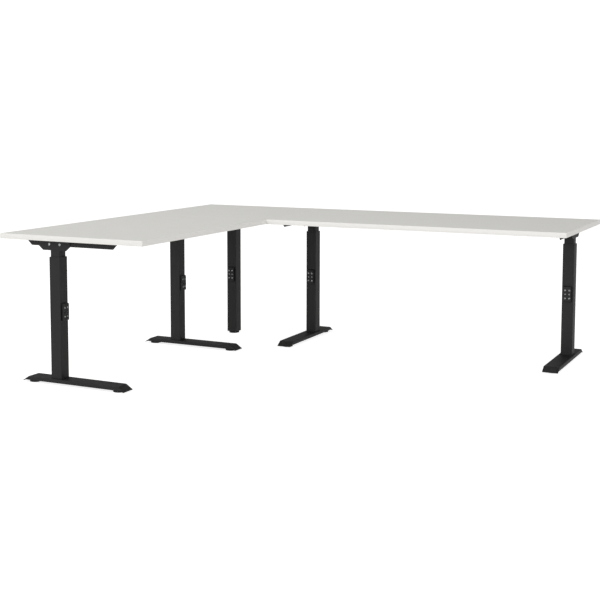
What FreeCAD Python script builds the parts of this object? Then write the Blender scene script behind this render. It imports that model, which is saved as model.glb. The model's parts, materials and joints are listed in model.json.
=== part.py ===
import FreeCAD, Part
import math
import os
import re
import Sketcher

# L-shaped desk on five telescopic legs. Millimetres, +Z up, origin on the floor below the middle of
# the outline's bounding box. The right wing runs along +X, the left wing along -Y, and the user sits
# in the +X/-Y quadrant, inside the L.
#
# Every leg is drawn in its own frame: axis of the tubes on Z, +X towards the user, floor at zero.
# Rails are drawn along their own +X. A Placement then puts each piece in the desk.

SIZES = {
    # desk top
    "wing_depth": 800, "left_length": 2000, "right_length": 2400,
    "top_height": 720, "board_thick": 25, "seam_gap": 0.5,
    # where the legs stand, from the outer edges, the free ends and the seams
    "leg_setback": 262, "end_inset": 100, "seam_inset": 30, "corner_inset": 365,
    # telescopic tubes
    "outer_tube": 60, "outer_wall": 2, "outer_round": 3, "drop_room": 33,
    "corner_tube_low": 10,  # its walls reach lower than the base plate inside
    "inner_wall": 2, "inner_round": 3, "inner_bottom": 130, "base_plate": 8,
    # guide sleeve in the mouth of the outer tube
    "sleeve_long": 45, "sleeve_wall": 2.7, "sleeve_rim": 1.5, "sleeve_rim_inset": 0.5,
    "sleeve_fit": 0.1, "slide_fit": 0.2,
    # clamp block, its screws and the plate they press
    "clamp_low": 309, "clamp_high": 391, "clamp_wide": 40, "clamp_deep": 13, "clamp_round": 5,
    "screw_pitch_across": 21, "screw_pitch_up": 21, "screw_dia": 8, "thread_fit": 0.05,
    "screw_hole_fit": 0.3, "screw_proud": 0.5, "screw_sunk": 2, "socket_wide": 4, "socket_deep": 4,
    "plate_thick": 2, "plate_wide": 36, "plate_long": 76, "plate_gap": 0.2,
    # foot; the insets are from the outer and the user's edge of the board above
    "foot_wide": 80, "foot_back_inset": 67, "foot_front_inset": 151, "foot_low": 6, "foot_top": 30,
    "flap_run": 37, "flap_wall": 5, "foot_sheet": 3, "foot_round": 2, "wall_low": 12,
    "foot_bolt_dia": 8, "foot_bolt_inset": 14, "foot_bolt_head": 13, "foot_bolt_head_deep": 4.5,
    "foot_bolt_fit": 0.5,
    # levelling glides
    "glide_end": 50, "glide_dia": 58, "glide_skirt": 7, "glide_cone": 12, "glide_bevel": 1.5,
    "glide_hub_dia": 18, "glide_hub_top": 18, "stem_dia": 10, "stem_gap": 0.3, "weld_nut_dia": 20,
    # arm with its head; the insets are those of its tips, as for the foot
    "arm_high": 32, "arm_back_inset": 96, "arm_front_inset": 177, "arm_sheet": 3, "arm_lip": 8,
    "gusset_sheet": 3, "gusset_drop": 20, "gusset_top_half": 90, "gusset_low_half": 66,
    "gusset_relief": 2, "back_plate_half": 37, "head_bolt_half": 30, "head_bolt_up": 8.5,
    "head_bolt_dia": 6, "head_bolt_fit": 0.2, "bolt_head_dia": 12, "bolt_head_deep": 3.5,
    "nut_dia": 11, "nut_deep": 5,
    # cross rails and joining plates
    "rail_wide": 40, "rail_high": 30, "rail_sheet": 2, "rail_end_sheet": 4, "rail_end_half": 42,
    "rail_screw_inset": 150,
    "link_thick": 3, "link_wide": 70, "link_long": 150, "link_outer": 50, "link_user": 118,
    "link_screw_half": 22, "link_screw_reach": 52,
    "head_plate": 160, "head_plate_thick": 4, "head_plate_screw_half": 65,
    # wood screws
    "wood_screw_dia": 5, "wood_screw_long": 15, "wood_screw_head": 10, "wood_screw_head_deep": 2.5,
    "wood_screw_fit": 0.1,
    "arm_screw_inset": 20, "arm_screw_near": 110,
}

UNDERSIDE = "(top_height - board_thick)"
ARM_BOTTOM = "(" + UNDERSIDE + " - arm_high)"
HEAD_BOLT_Z = "(" + ARM_BOTTOM + " + head_bolt_up)"
GUSSET_LOW = "(" + ARM_BOTTOM + " - gusset_drop)"
OUTER_TOP = "(" + GUSSET_LOW + " - drop_room)"
BORE = "(outer_tube - 2 * outer_wall - 2 * sleeve_fit - 2 * sleeve_wall)"
INNER_TUBE = "(" + BORE + " - 2 * slide_fit)"
ARM_WIDE = INNER_TUBE
ARM_BACK = "(leg_setback - arm_back_inset - arm_high)"
ARM_FRONT = "(wing_depth - leg_setback - arm_front_inset - arm_high)"
FOOT_BACK = "(leg_setback - foot_back_inset)"
FOOT_FRONT = "(wing_depth - leg_setback - foot_front_inset)"
GUSSET_OUT = "(" + ARM_WIDE + " / 2 + gusset_sheet)"
CLAMP_MIDDLE = "((clamp_low + clamp_high) / 2)"
CLAMP_FACE = "(outer_tube / 2 + clamp_deep)"
PLATE_FACE = "(" + INNER_TUBE + " / 2 + plate_gap + plate_thick)"
WEB_LOW = "(foot_top - foot_sheet)"

DESK_LEFT = "(0 - right_length / 2)"
DESK_BACK = "(left_length / 2)"
LEFT_LEG_X = "(" + DESK_LEFT + " + leg_setback)"
RIGHT_LEG_Y = "(" + DESK_BACK + " - leg_setback)"
LEFT_END_Y = "(end_inset - left_length / 2)"
LEFT_MID_Y = "(" + DESK_BACK + " - wing_depth - seam_inset)"
RIGHT_MID_X = "(" + DESK_LEFT + " + wing_depth + seam_inset)"
RIGHT_END_X = "(right_length / 2 - end_inset)"

# name: (x, y, turn about Z, side of the leg where the arm's web and the bolt heads are, as a sign)
T_LEGS = {
    "left_end": (LEFT_LEG_X, LEFT_END_Y, 0, "-"),
    "left_mid": (LEFT_LEG_X, LEFT_MID_Y, 0, "+"),
    "right_mid": (RIGHT_MID_X, RIGHT_LEG_Y, -90, "-"),
    "right_end": (RIGHT_END_X, RIGHT_LEG_Y, -90, "+"),
}
CORNER_LEG = (DESK_LEFT + " + corner_inset", DESK_BACK + " - corner_inset", -90)

doc = FreeCAD.newDocument("corner_desk")
sheet = doc.addObject("Spreadsheet::Sheet", "sizes")
for row, (alias, value) in enumerate(SIZES.items(), start=1):
    sheet.set("A%d" % row, alias)
    sheet.set("B%d" % row, str(value))
    sheet.setAlias("B%d" % row, alias)
doc.recompute()

NODES = []


# ---------------------------------------------------------------- helpers

def bind(thing, path, text):
    """Tie a property to a formula written in the sheet's own words."""
    thing.setExpression(path, re.sub(r"[a-z][a-z_]+", r"sizes.\g<0>", text))


def place(thing, x="0", y="0", turn=0):
    """Stand a piece at x, y, turned about Z."""
    thing.Placement = FreeCAD.Placement(FreeCAD.Vector(), FreeCAD.Rotation(FreeCAD.Vector(0, 0, 1), turn))
    bind(thing, "Placement.Base.x", x)
    bind(thing, "Placement.Base.y", y)


def new_body(label, keep=True):
    """An empty body; one that is kept becomes a node of its own."""
    body = doc.addObject("PartDesign::Body", label)
    body.Label = label
    if keep:
        NODES.append(body)
    return body


def group(label, members):
    """Identical fasteners as one node of separate solids."""
    compound = doc.addObject("Part::Compound", label)
    compound.Label = label
    compound.Links = members
    NODES.append(compound)


def new_sketch(body, plane, shift="0"):
    """A sketch on one of the body's own origin planes, shifted along the plane's normal."""
    sketch = body.newObject("Sketcher::SketchObject", body.Label + "_sketch")
    support = [feature for feature in body.Origin.OriginFeatures if feature.Role == plane + "_Plane"]
    sketch.AttachmentSupport = (support[0], [""])
    sketch.MapMode = "FlatFace"
    bind(sketch, ".AttachmentOffset.Base.z", shift)
    return sketch


def fix_point(sketch, geometry, point, across, up):
    """Pin one point of a sketch with two bound distances from its origin."""
    for kind, text in (("DistanceX", across), ("DistanceY", up)):
        index = sketch.addConstraint(Sketcher.Constraint(kind, -1, 1, geometry, point, 1.0))
        bind(sketch, "Constraints[%d]" % index, text)


def draw_polygon(sketch, corners):
    """A closed outline through corners given as pairs of formulas."""
    first = sketch.GeometryCount
    count = len(corners)
    start = [FreeCAD.Vector(math.cos(k * math.tau / count), math.sin(k * math.tau / count), 0)
             for k in range(count)]
    for k in range(count):
        sketch.addGeometry(Part.LineSegment(start[k], start[(k + 1) % count]), False)
    for k in range(count):
        following = first + (k + 1) % count
        sketch.addConstraint(Sketcher.Constraint("Coincident", first + k, 2, following, 1))
    for k, (across, up) in enumerate(corners):
        fix_point(sketch, first + k, 1, across, up)


def draw_box(sketch, low_x, high_x, low_y, high_y):
    """A rectangle between two pairs of formulas."""
    draw_polygon(sketch, [(low_x, low_y), (high_x, low_y), (high_x, high_y), (low_x, high_y)])


def draw_square(sketch, width):
    """A square about the sketch's origin."""
    half = "(" + width + ") / 2"
    draw_box(sketch, "0 - " + half, half, "0 - " + half, half)


def draw_circles(sketch, centres, diameter):
    """Equal circles at centres given as pairs of formulas."""
    for across, up in centres:
        circle = Part.Circle(FreeCAD.Vector(), FreeCAD.Vector(0, 0, 1), 1.0)
        geometry = sketch.addGeometry(circle, False)
        fix_point(sketch, geometry, 3, across, up)
        index = sketch.addConstraint(Sketcher.Constraint("Diameter", geometry, 2.0))
        bind(sketch, "Constraints[%d]" % index, diameter)


def extrude(body, kind, sketch, length, both_ways=False):
    """Pad or Pocket a sketch by a bound length."""
    feature = body.newObject("PartDesign::" + kind, body.Label + "_" + kind.lower())
    feature.Profile = sketch
    feature.SideType = "Symmetric" if both_ways else "One side"
    bind(feature, "Length", length)


def round_edges(body, radius, chosen):
    """Fillet the edges of the body's tip that the test picks."""
    doc.recompute()
    base = body.Tip
    box = base.Shape.BoundBox
    names = ["Edge%d" % (k + 1) for k, edge in enumerate(base.Shape.Edges) if chosen(edge, box)]
    fillet = body.newObject("PartDesign::Fillet", body.Label + "_fillet")
    fillet.Base = (base, names)
    bind(fillet, "Radius", radius)


def runs_along(edge, axis):
    """Whether a straight edge runs along X (0), Y (1) or Z (2)."""
    ends = [vertex.Point for vertex in edge.Vertexes]
    if len(ends) != 2:
        return False
    gap = ends[1] - ends[0]
    return abs(abs(gap[axis]) - gap.Length) < 1e-6


def stands_at(edge, axis, distance):
    """Whether an edge lies at plus or minus a distance along an axis."""
    return all(abs(abs(vertex.Point[axis]) - distance) < 1e-6 for vertex in edge.Vertexes)


def outer_corner(edge, box):
    """Whether an edge is one of the four upright outer corners of a tube."""
    return runs_along(edge, 2) and stands_at(edge, 0, box.XMax) and stands_at(edge, 1, box.YMax)


def four_ways(half_x, half_y):
    """The four corners of a rectangle about the origin."""
    return [(sign_x + half_x, sign_y + half_y) for sign_x in ("0 + ", "0 - ") for sign_y in ("0 + ", "0 - ")]


# ---------------------------------------------------------------- one leg

def lower_tube(leg, bottom, plate_low, holes, hole_dia):
    """Square outer tube with a base plate welded inside its lower end."""
    body = new_body(leg + "_lower_tube")
    ring = new_sketch(body, "XY", bottom)
    draw_square(ring, "outer_tube")
    draw_square(ring, "outer_tube - 2 * outer_wall")
    extrude(body, "Pad", ring, OUTER_TOP + " - " + bottom)
    round_edges(body, "outer_round", outer_corner)
    base = new_sketch(body, "XY", plate_low)
    draw_square(base, "outer_tube - 2 * outer_wall")
    extrude(body, "Pad", base, "base_plate")
    tapped = new_sketch(body, "XY", plate_low + " + base_plate")
    draw_circles(tapped, holes, hole_dia)
    extrude(body, "Pocket", tapped, "base_plate")
    front = new_sketch(body, "YZ", "outer_tube / 2 + clamp_deep")
    draw_circles(front, clamp_screw_centres(), "screw_dia + 2 * screw_hole_fit")
    extrude(body, "Pocket", front, "clamp_deep + outer_wall + plate_gap")
    return body


def clamp_screw_centres(steps=(" - screw_pitch_up", "", " + screw_pitch_up")):
    """Two columns of screws on rows that lie at steps from the block's middle, as Y and Z."""
    columns = ["0 - screw_pitch_across / 2", "screw_pitch_across / 2"]
    return [(across, CLAMP_MIDDLE + step) for across in columns for step in steps]


def guide_sleeve(leg):
    """Collar that guides the inner tube, with a thin rim on top of the outer tube."""
    body = new_body(leg + "_guide_sleeve")
    ring = new_sketch(body, "XY", OUTER_TOP + " - sleeve_long")
    draw_square(ring, "outer_tube - 2 * outer_wall - 2 * sleeve_fit")
    draw_square(ring, BORE)
    extrude(body, "Pad", ring, "sleeve_long")
    rim = new_sketch(body, "XY", OUTER_TOP)
    draw_square(rim, "outer_tube - 2 * sleeve_rim_inset")
    draw_square(rim, BORE)
    extrude(body, "Pad", rim, "sleeve_rim")
    round_edges(body, "outer_round", outer_corner)
    return body


def upper_tube(leg, top, side=None):
    """Square inner tube; on a T-leg a trapezoid gusset and a small back plate are welded to it."""
    body = new_body(leg + "_upper_tube")
    ring = new_sketch(body, "XY", "inner_bottom")
    draw_square(ring, INNER_TUBE)
    draw_square(ring, INNER_TUBE + " - 2 * inner_wall")
    extrude(body, "Pad", ring, top + " - inner_bottom")
    round_edges(body, "inner_round", outer_corner)
    if side is None:
        return body
    shifts = [ARM_WIDE + " / 2", "0 - " + GUSSET_OUT]
    if side == "+":
        shifts.reverse()
    gusset = new_sketch(body, "XZ", shifts[0])
    draw_polygon(gusset, [
        ("0 - gusset_low_half", GUSSET_LOW), ("gusset_low_half", GUSSET_LOW),
        ("gusset_top_half", ARM_BOTTOM), ("gusset_top_half", UNDERSIDE + " - gusset_relief"),
        ("0 - gusset_top_half", UNDERSIDE + " - gusset_relief"), ("0 - gusset_top_half", ARM_BOTTOM),
    ])
    extrude(body, "Pad", gusset, "gusset_sheet")
    back_plate = new_sketch(body, "XZ", shifts[1])
    draw_box(back_plate, "0 - back_plate_half", "back_plate_half",
             GUSSET_LOW, UNDERSIDE + " - gusset_relief")
    extrude(body, "Pad", back_plate, "gusset_sheet")
    head_bolt_holes(body)
    return body


def head_bolt_holes(body):
    """Two holes right through the head, across the leg."""
    holes = new_sketch(body, "XZ")
    draw_circles(holes, [("0 - head_bolt_half", HEAD_BOLT_Z), ("head_bolt_half", HEAD_BOLT_Z)],
                 "head_bolt_dia + 2 * head_bolt_fit")
    extrude(body, "Pocket", holes, "2 * " + GUSSET_OUT + " + 2", both_ways=True)


def clamp_box(leg):
    """Threaded block on the user side of the outer tube, rounded at its top and bottom."""
    body = new_body(leg + "_clamp_box")
    profile = new_sketch(body, "XZ")
    draw_box(profile, "outer_tube / 2", CLAMP_FACE, "clamp_low", "clamp_high")
    extrude(body, "Pad", profile, "clamp_wide", both_ways=True)
    round_edges(body, "clamp_round", lambda edge, box: runs_along(edge, 1)
                and stands_at(edge, 0, box.XMax))
    threads = new_sketch(body, "YZ", CLAMP_FACE)
    draw_circles(threads, clamp_screw_centres(), "screw_dia + 2 * thread_fit")
    extrude(body, "Pocket", threads, "clamp_deep")
    return body


def clamp_screws(leg):
    """Six set screws with sockets, their tips against the pressure plate, the middle two sunk."""
    body = new_body(leg + "_clamp_screws")
    half, point = "socket_wide / 2", "socket_wide * 0.5774"
    for steps, face in (((" - screw_pitch_up", " + screw_pitch_up"), CLAMP_FACE + " + screw_proud"),
                        (("",), CLAMP_FACE + " - screw_sunk")):
        centres = clamp_screw_centres(steps)
        shanks = new_sketch(body, "YZ", PLATE_FACE)
        draw_circles(shanks, centres, "screw_dia")
        extrude(body, "Pad", shanks, face + " - " + PLATE_FACE)
        sockets = new_sketch(body, "YZ", face)
        for across, up in centres:
            draw_polygon(sockets, [
                (across, up + " + " + point), (across + " - " + half, up + " + " + point + " / 2"),
                (across + " - " + half, up + " - " + point + " / 2"), (across, up + " - " + point),
                (across + " + " + half, up + " - " + point + " / 2"),
                (across + " + " + half, up + " + " + point + " / 2"),
            ])
        extrude(body, "Pocket", sockets, "socket_deep")
    return body


def pressure_plate(leg):
    """Plate between the screws' tips and the inner tube."""
    body = new_body(leg + "_pressure_plate")
    outline = new_sketch(body, "YZ", INNER_TUBE + " / 2 + plate_gap")
    draw_box(outline, "0 - plate_wide / 2", "plate_wide / 2",
             CLAMP_MIDDLE + " - plate_long / 2", CLAMP_MIDDLE + " + plate_long / 2")
    extrude(body, "Pad", outline, "plate_thick")
    return body


def foot(leg):
    """Folded channel, open below, with weld nuts for the glides.

    The sloped flaps at both ends reach lower than the side walls.
    """
    body = new_body(leg + "_foot")
    outside = new_sketch(body, "XZ")
    draw_polygon(outside, [
        ("0 - " + FOOT_BACK, "foot_low"), (FOOT_FRONT, "foot_low"),
        (FOOT_FRONT + " - flap_run", "foot_top"), ("flap_run - " + FOOT_BACK, "foot_top"),
    ])
    extrude(body, "Pad", outside, "foot_wide", both_ways=True)
    round_edges(body, "foot_round", lambda edge, box: stands_at(edge, 1, box.YMax)
                and not stands_at(edge, 2, box.ZMin))
    slope = "flap_run * (foot_top - foot_sheet - foot_low) / (foot_top - foot_low)"
    inside = new_sketch(body, "XZ")
    draw_polygon(inside, [
        ("flap_wall - " + FOOT_BACK, "foot_low"), (FOOT_FRONT + " - flap_wall", "foot_low"),
        (FOOT_FRONT + " - flap_wall - " + slope, WEB_LOW),
        ("flap_wall - " + FOOT_BACK + " + " + slope, WEB_LOW),
    ])
    extrude(body, "Pocket", inside, "foot_wide - 2 * foot_sheet", both_ways=True)
    rise = "flap_run * (wall_low - foot_low) / (foot_top - foot_low)"
    below_walls = new_sketch(body, "XZ")
    draw_polygon(below_walls, [
        ("flap_wall - " + FOOT_BACK, "foot_low"), (FOOT_FRONT + " - flap_wall", "foot_low"),
        (FOOT_FRONT + " - flap_wall - " + rise, "wall_low"),
        ("flap_wall - " + FOOT_BACK + " + " + rise, "wall_low"),
    ])
    extrude(body, "Pocket", below_walls, "foot_wide + 2", both_ways=True)
    nuts = new_sketch(body, "XY", "glide_hub_top")
    draw_circles(nuts, glide_places(), "weld_nut_dia")
    extrude(body, "Pad", nuts, WEB_LOW + " - glide_hub_top")
    threads = new_sketch(body, "XY", WEB_LOW)
    draw_circles(threads, glide_places(), "stem_dia + 2 * thread_fit")
    extrude(body, "Pocket", threads, WEB_LOW + " - glide_hub_top")
    bolts = new_sketch(body, "XY", "foot_top")
    draw_circles(bolts, foot_bolt_places(), "foot_bolt_dia + 2 * foot_bolt_fit")
    extrude(body, "Pocket", bolts, "foot_sheet")
    return body


def glide_places():
    """The two glides, near the foot's ends."""
    return [("glide_end - " + FOOT_BACK, "0"), (FOOT_FRONT + " - glide_end", "0")]


def foot_bolt_places():
    """Four bolts inside the tube's section."""
    reach = "(outer_tube / 2 - foot_bolt_inset)"
    return four_ways(reach, reach)


def foot_bolts(leg):
    """Four bolts from below through the foot into the tube's base plate."""
    body = new_body(leg + "_foot_bolts")
    heads = new_sketch(body, "XY", WEB_LOW + " - foot_bolt_head_deep")
    draw_circles(heads, foot_bolt_places(), "foot_bolt_head")
    extrude(body, "Pad", heads, "foot_bolt_head_deep")
    shanks = new_sketch(body, "XY", WEB_LOW)
    draw_circles(shanks, foot_bolt_places(), "foot_bolt_dia")
    extrude(body, "Pad", shanks, "foot_sheet + base_plate")
    return body


def glide(label):
    """Round levelling glide: skirt, cone, hub and threaded stem, turned about Z."""
    body = new_body(label)
    half = new_sketch(body, "XZ")
    stem_top = WEB_LOW + " - stem_gap"
    draw_polygon(half, [
        ("0", "0"), ("glide_dia / 2 - glide_bevel", "0"), ("glide_dia / 2", "glide_bevel"),
        ("glide_dia / 2", "glide_skirt"), ("glide_hub_dia / 2 + 6", "glide_cone"),
        ("glide_hub_dia / 2", "glide_cone"), ("glide_hub_dia / 2", "glide_hub_top"),
        ("stem_dia / 2", "glide_hub_top"), ("stem_dia / 2", stem_top), ("0", stem_top),
    ])
    turned = body.newObject("PartDesign::Revolution", label + "_revolution")
    turned.Profile = half
    turned.ReferenceAxis = (half, ["V_Axis"])
    turned.Angle = 360
    return body


def arm(leg, side):
    """Folded arm under the board: a web on one side, a flange on top and a small lip, bevelled ends."""
    body = new_body(leg + "_arm")
    section = new_sketch(body, "YZ", "0 - " + ARM_BACK + " - arm_high")
    other = "+" if side == "-" else "-"
    web = "0 " + side + " " + ARM_WIDE + " / 2"
    web_inside = web + " " + other + " arm_sheet"
    far = "0 " + other + " " + ARM_WIDE + " / 2"
    far_inside = far + " " + side + " arm_sheet"
    draw_polygon(section, [
        (web, ARM_BOTTOM), (web_inside, ARM_BOTTOM), (web_inside, UNDERSIDE + " - arm_sheet"),
        (far_inside, UNDERSIDE + " - arm_sheet"), (far_inside, UNDERSIDE + " - arm_lip"),
        (far, UNDERSIDE + " - arm_lip"), (far, UNDERSIDE), (web, UNDERSIDE),
    ])
    extrude(body, "Pad", section, ARM_BACK + " + " + ARM_FRONT + " + 2 * arm_high")
    bevels = new_sketch(body, "XZ")
    for low, grow in (("0 - " + ARM_BACK, " - arm_high"), (ARM_FRONT, " + arm_high")):
        draw_polygon(bevels, [(low, ARM_BOTTOM), (low + grow, UNDERSIDE), (low + grow, ARM_BOTTOM)])
    extrude(body, "Pocket", bevels, ARM_WIDE + " + 2", both_ways=True)
    head_bolt_holes(body)
    top = new_sketch(body, "XY", UNDERSIDE)
    draw_circles(top, arm_screw_places(), "wood_screw_dia + 2 * wood_screw_fit")
    extrude(body, "Pocket", top, "arm_sheet")
    return body


def arm_screw_places():
    """Wood screws along an arm, in the leg's frame."""
    last = "(" + ARM_FRONT + " - arm_screw_inset)"
    middle = "(arm_screw_near + " + last + ") / 2"
    reach = ["arm_screw_inset - " + ARM_BACK, "arm_screw_near", middle, last]
    return [(along, "0") for along in reach]


def arm_bolt_pair(leg, side):
    """Two through bolts with their nuts; the heads are on the side of the arm's web."""
    body = new_body(leg + "_bolt_pair", keep=False)
    nut_start = "(" + GUSSET_OUT + " + rail_end_sheet)"
    nut_end = "(" + nut_start + " + nut_deep)"
    if side == "-":
        starts = (GUSSET_OUT, "0 - " + nut_end, "0 - " + nut_end)
    else:
        starts = ("0 - " + GUSSET_OUT + " - bolt_head_deep", "0 - " + GUSSET_OUT, nut_start)
    lengths = ("bolt_head_deep", GUSSET_OUT + " + " + nut_end, "nut_deep")
    for start, length, dia in zip(starts, lengths, ("bolt_head_dia", "head_bolt_dia", "nut_dia")):
        disc = new_sketch(body, "XZ", start)
        draw_circles(disc, [("0 - head_bolt_half", HEAD_BOLT_Z), ("head_bolt_half", HEAD_BOLT_Z)], dia)
        extrude(body, "Pad", disc, length)
    return body


def cross_rail(label, length):
    """Channel rail, open below, with a welded end plate on each end, drawn along its own +X."""
    body = new_body(label)
    low, high = UNDERSIDE + " - rail_high", UNDERSIDE
    section = new_sketch(body, "YZ", "0")
    draw_polygon(section, [
        ("0 - rail_wide / 2", low), ("rail_sheet - rail_wide / 2", low),
        ("rail_sheet - rail_wide / 2", high + " - rail_sheet"),
        ("rail_wide / 2 - rail_sheet", high + " - rail_sheet"),
        ("rail_wide / 2 - rail_sheet", low), ("rail_wide / 2", low),
        ("rail_wide / 2", high), ("0 - rail_wide / 2", high),
    ])
    extrude(body, "Pad", section, length)
    for shift in ("0", length + " - rail_end_sheet"):
        end = new_sketch(body, "YZ", shift)
        draw_box(end, "0 - rail_end_half", "rail_end_half", low, high)
        draw_circles(end, [("0 - head_bolt_half", HEAD_BOLT_Z), ("head_bolt_half", HEAD_BOLT_Z)],
                     "head_bolt_dia + 2 * head_bolt_fit")
        extrude(body, "Pad", end, "rail_end_sheet")
    holes = new_sketch(body, "XY", high)
    draw_circles(holes, [(along, "0") for along in rail_screw_reach(length)],
                 "wood_screw_dia + 2 * wood_screw_fit")
    extrude(body, "Pocket", holes, "rail_sheet")
    return body


def rail_screw_reach(length):
    """Wood screws along a rail: one near each end and one in the middle."""
    return ["rail_screw_inset", "(" + length + ") / 2", length + " - rail_screw_inset"]


# ---------------------------------------------------------------- legs

for name, (x, y, turn, side) in T_LEGS.items():
    tapped_dia = "foot_bolt_dia + 2 * thread_fit"
    for piece in (lower_tube(name, "foot_top", "foot_top", foot_bolt_places(), tapped_dia),
                  guide_sleeve(name), upper_tube(name, ARM_BOTTOM, side), clamp_box(name),
                  clamp_screws(name), pressure_plate(name), foot(name), foot_bolts(name),
                  arm(name, side)):
        place(piece, x, y, turn)
    for end, (along, across) in zip(("back", "front"), glide_places()):
        piece = glide(name + "_" + end + "_glide")
        if turn == 0:
            place(piece, x + " + " + along, y, turn)
        else:
            place(piece, x, y + " - (" + along + ")", turn)

HEAD_PLATE_LOW = "(" + UNDERSIDE + " - head_plate_thick)"
tapped_dia = "stem_dia + 2 * thread_fit"
for piece in (lower_tube("corner", "corner_tube_low", "glide_hub_top", [("0", "0")], tapped_dia),
              guide_sleeve("corner"), upper_tube("corner", HEAD_PLATE_LOW), clamp_box("corner"),
              clamp_screws("corner"), pressure_plate("corner"), glide("corner_glide")):
    place(piece, *CORNER_LEG)

head_plate = new_body("corner_head_plate")
outline = new_sketch(head_plate, "XY", HEAD_PLATE_LOW)
draw_square(outline, "head_plate")
extrude(head_plate, "Pad", outline, "head_plate_thick")
drilled = new_sketch(head_plate, "XY", UNDERSIDE)
draw_circles(drilled, four_ways("head_plate_screw_half", "head_plate_screw_half"),
             "wood_screw_dia + 2 * wood_screw_fit")
extrude(head_plate, "Pocket", drilled, "head_plate_thick")
place(head_plate, *CORNER_LEG)

# ---------------------------------------------------------------- rails, plates and bolts

LEFT_RAIL_LONG = "(left_length - wing_depth - seam_inset - end_inset - 2 * " + GUSSET_OUT + ")"
RIGHT_RAIL_LONG = "(right_length - wing_depth - seam_inset - end_inset - 2 * " + GUSSET_OUT + ")"
LEFT_RAIL_Y = "(" + LEFT_END_Y + " + " + GUSSET_OUT + ")"
RIGHT_RAIL_X = "(" + RIGHT_MID_X + " + " + GUSSET_OUT + ")"
place(cross_rail("left_cross_rail", LEFT_RAIL_LONG), LEFT_LEG_X, LEFT_RAIL_Y, 90)
place(cross_rail("right_cross_rail", RIGHT_RAIL_LONG), RIGHT_RAIL_X, RIGHT_LEG_Y, 0)

bolt_pairs = []
for name, (x, y, turn, side) in T_LEGS.items():
    pair = arm_bolt_pair(name, side)
    place(pair, x, y, turn)
    bolt_pairs.append(pair)
group("arm_bolts", bolt_pairs)

# Joining plates: (x, y, turn) of each, with its long side across the seam.
LINKS = []
for from_edge in ("link_outer", "(wing_depth - link_user)"):
    LINKS.append((DESK_LEFT + " + " + from_edge, DESK_BACK + " - wing_depth", 0))
    LINKS.append((DESK_LEFT + " + wing_depth", DESK_BACK + " - " + from_edge, 90))


def linking_plate(number):
    """Flat plate under a seam."""
    body = new_body("linking_plate_%d" % number, keep=False)
    flat = new_sketch(body, "XY", UNDERSIDE + " - link_thick")
    draw_box(flat, "0 - link_wide / 2", "link_wide / 2", "0 - link_long / 2", "link_long / 2")
    extrude(body, "Pad", flat, "link_thick")
    holes = new_sketch(body, "XY", UNDERSIDE)
    draw_circles(holes, four_ways("link_screw_half", "link_screw_reach"),
                 "wood_screw_dia + 2 * wood_screw_fit")
    extrude(body, "Pocket", holes, "link_thick")
    return body


link_plates = []
for number, spot in enumerate(LINKS, start=1):
    plate = linking_plate(number)
    place(plate, *spot)
    link_plates.append(plate)
group("linking_plates", link_plates)


# ---------------------------------------------------------------- wood screws and boards

def screw_set(label, sheet_thick, places):
    """Wood screws whose heads bear on a sheet of the given thickness, drawn in that piece's frame."""
    body = new_body(label, keep=False)
    bearing = UNDERSIDE + " - " + sheet_thick
    heads = new_sketch(body, "XY", bearing + " - wood_screw_head_deep")
    draw_circles(heads, places, "wood_screw_head")
    extrude(body, "Pad", heads, "wood_screw_head_deep")
    shanks = new_sketch(body, "XY", bearing)
    draw_circles(shanks, places, "wood_screw_dia")
    extrude(body, "Pad", shanks, sheet_thick + " + wood_screw_long")
    return body


def turned_spots(places, x, y, turn):
    """Places drawn in a piece's frame, as the desk's own X and Y."""
    spots = []
    for along, across in places:
        if turn == 0:
            spots.append((x + " + " + along, y + " + " + across))
        elif turn == 90:
            spots.append((x + " - (" + across + ")", y + " + " + along))
        else:
            spots.append((x + " + " + across, y + " - (" + along + ")"))
    return spots


screw_sets = []
pilots = {"left_board": [], "corner_board": [], "right_board": []}


def add_screws(label, sheet_thick, places, spot, board):
    """A set of screws in place, and its pilot holes in the board above."""
    screws = screw_set(label, sheet_thick, places)
    place(screws, *spot)
    screw_sets.append(screws)
    pilots[board].extend(turned_spots(places, *spot))


for name, (x, y, turn, side) in T_LEGS.items():
    board = "left_board" if turn == 0 else "right_board"
    add_screws(name + "_arm_screws", "arm_sheet", arm_screw_places(), (x, y, turn), board)
add_screws("corner_plate_screws", "head_plate_thick",
           four_ways("head_plate_screw_half", "head_plate_screw_half"), CORNER_LEG, "corner_board")
for label, length, spot, board in (
        ("left_rail_screws", LEFT_RAIL_LONG, (LEFT_LEG_X, LEFT_RAIL_Y, 90), "left_board"),
        ("right_rail_screws", RIGHT_RAIL_LONG, (RIGHT_RAIL_X, RIGHT_LEG_Y, 0), "right_board")):
    reach = [(along, "0") for along in rail_screw_reach(length)]
    add_screws(label, "rail_sheet", reach, spot, board)
for number, spot in enumerate(LINKS, start=1):
    # the half of a plate with positive Y lies under the corner board at the left seam and, because
    # the plate is turned by 90 degrees, under the corner board at the right seam as well
    wing = "left_board" if spot[2] == 0 else "right_board"
    for half, sign, board in (("inner", "0 + ", "corner_board"), ("outer", "0 - ", wing)):
        pair = [(cross + "link_screw_half", sign + "link_screw_reach") for cross in ("0 + ", "0 - ")]
        add_screws("link_%d_%s_screws" % (number, half), "link_thick", pair, spot, board)
group("board_screws", screw_sets)


def board(label, low_x, high_x, low_y, high_y):
    """One panel of the desk top with the pilot holes of its screws."""
    body = new_body(label)
    panel = new_sketch(body, "XY", UNDERSIDE)
    draw_box(panel, low_x, high_x, low_y, high_y)
    extrude(body, "Pad", panel, "board_thick")
    holes = new_sketch(body, "XY", UNDERSIDE + " + wood_screw_long")
    draw_circles(holes, pilots[label], "wood_screw_dia + 2 * wood_screw_fit")
    extrude(body, "Pocket", holes, "wood_screw_long")
    place(body)


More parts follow.
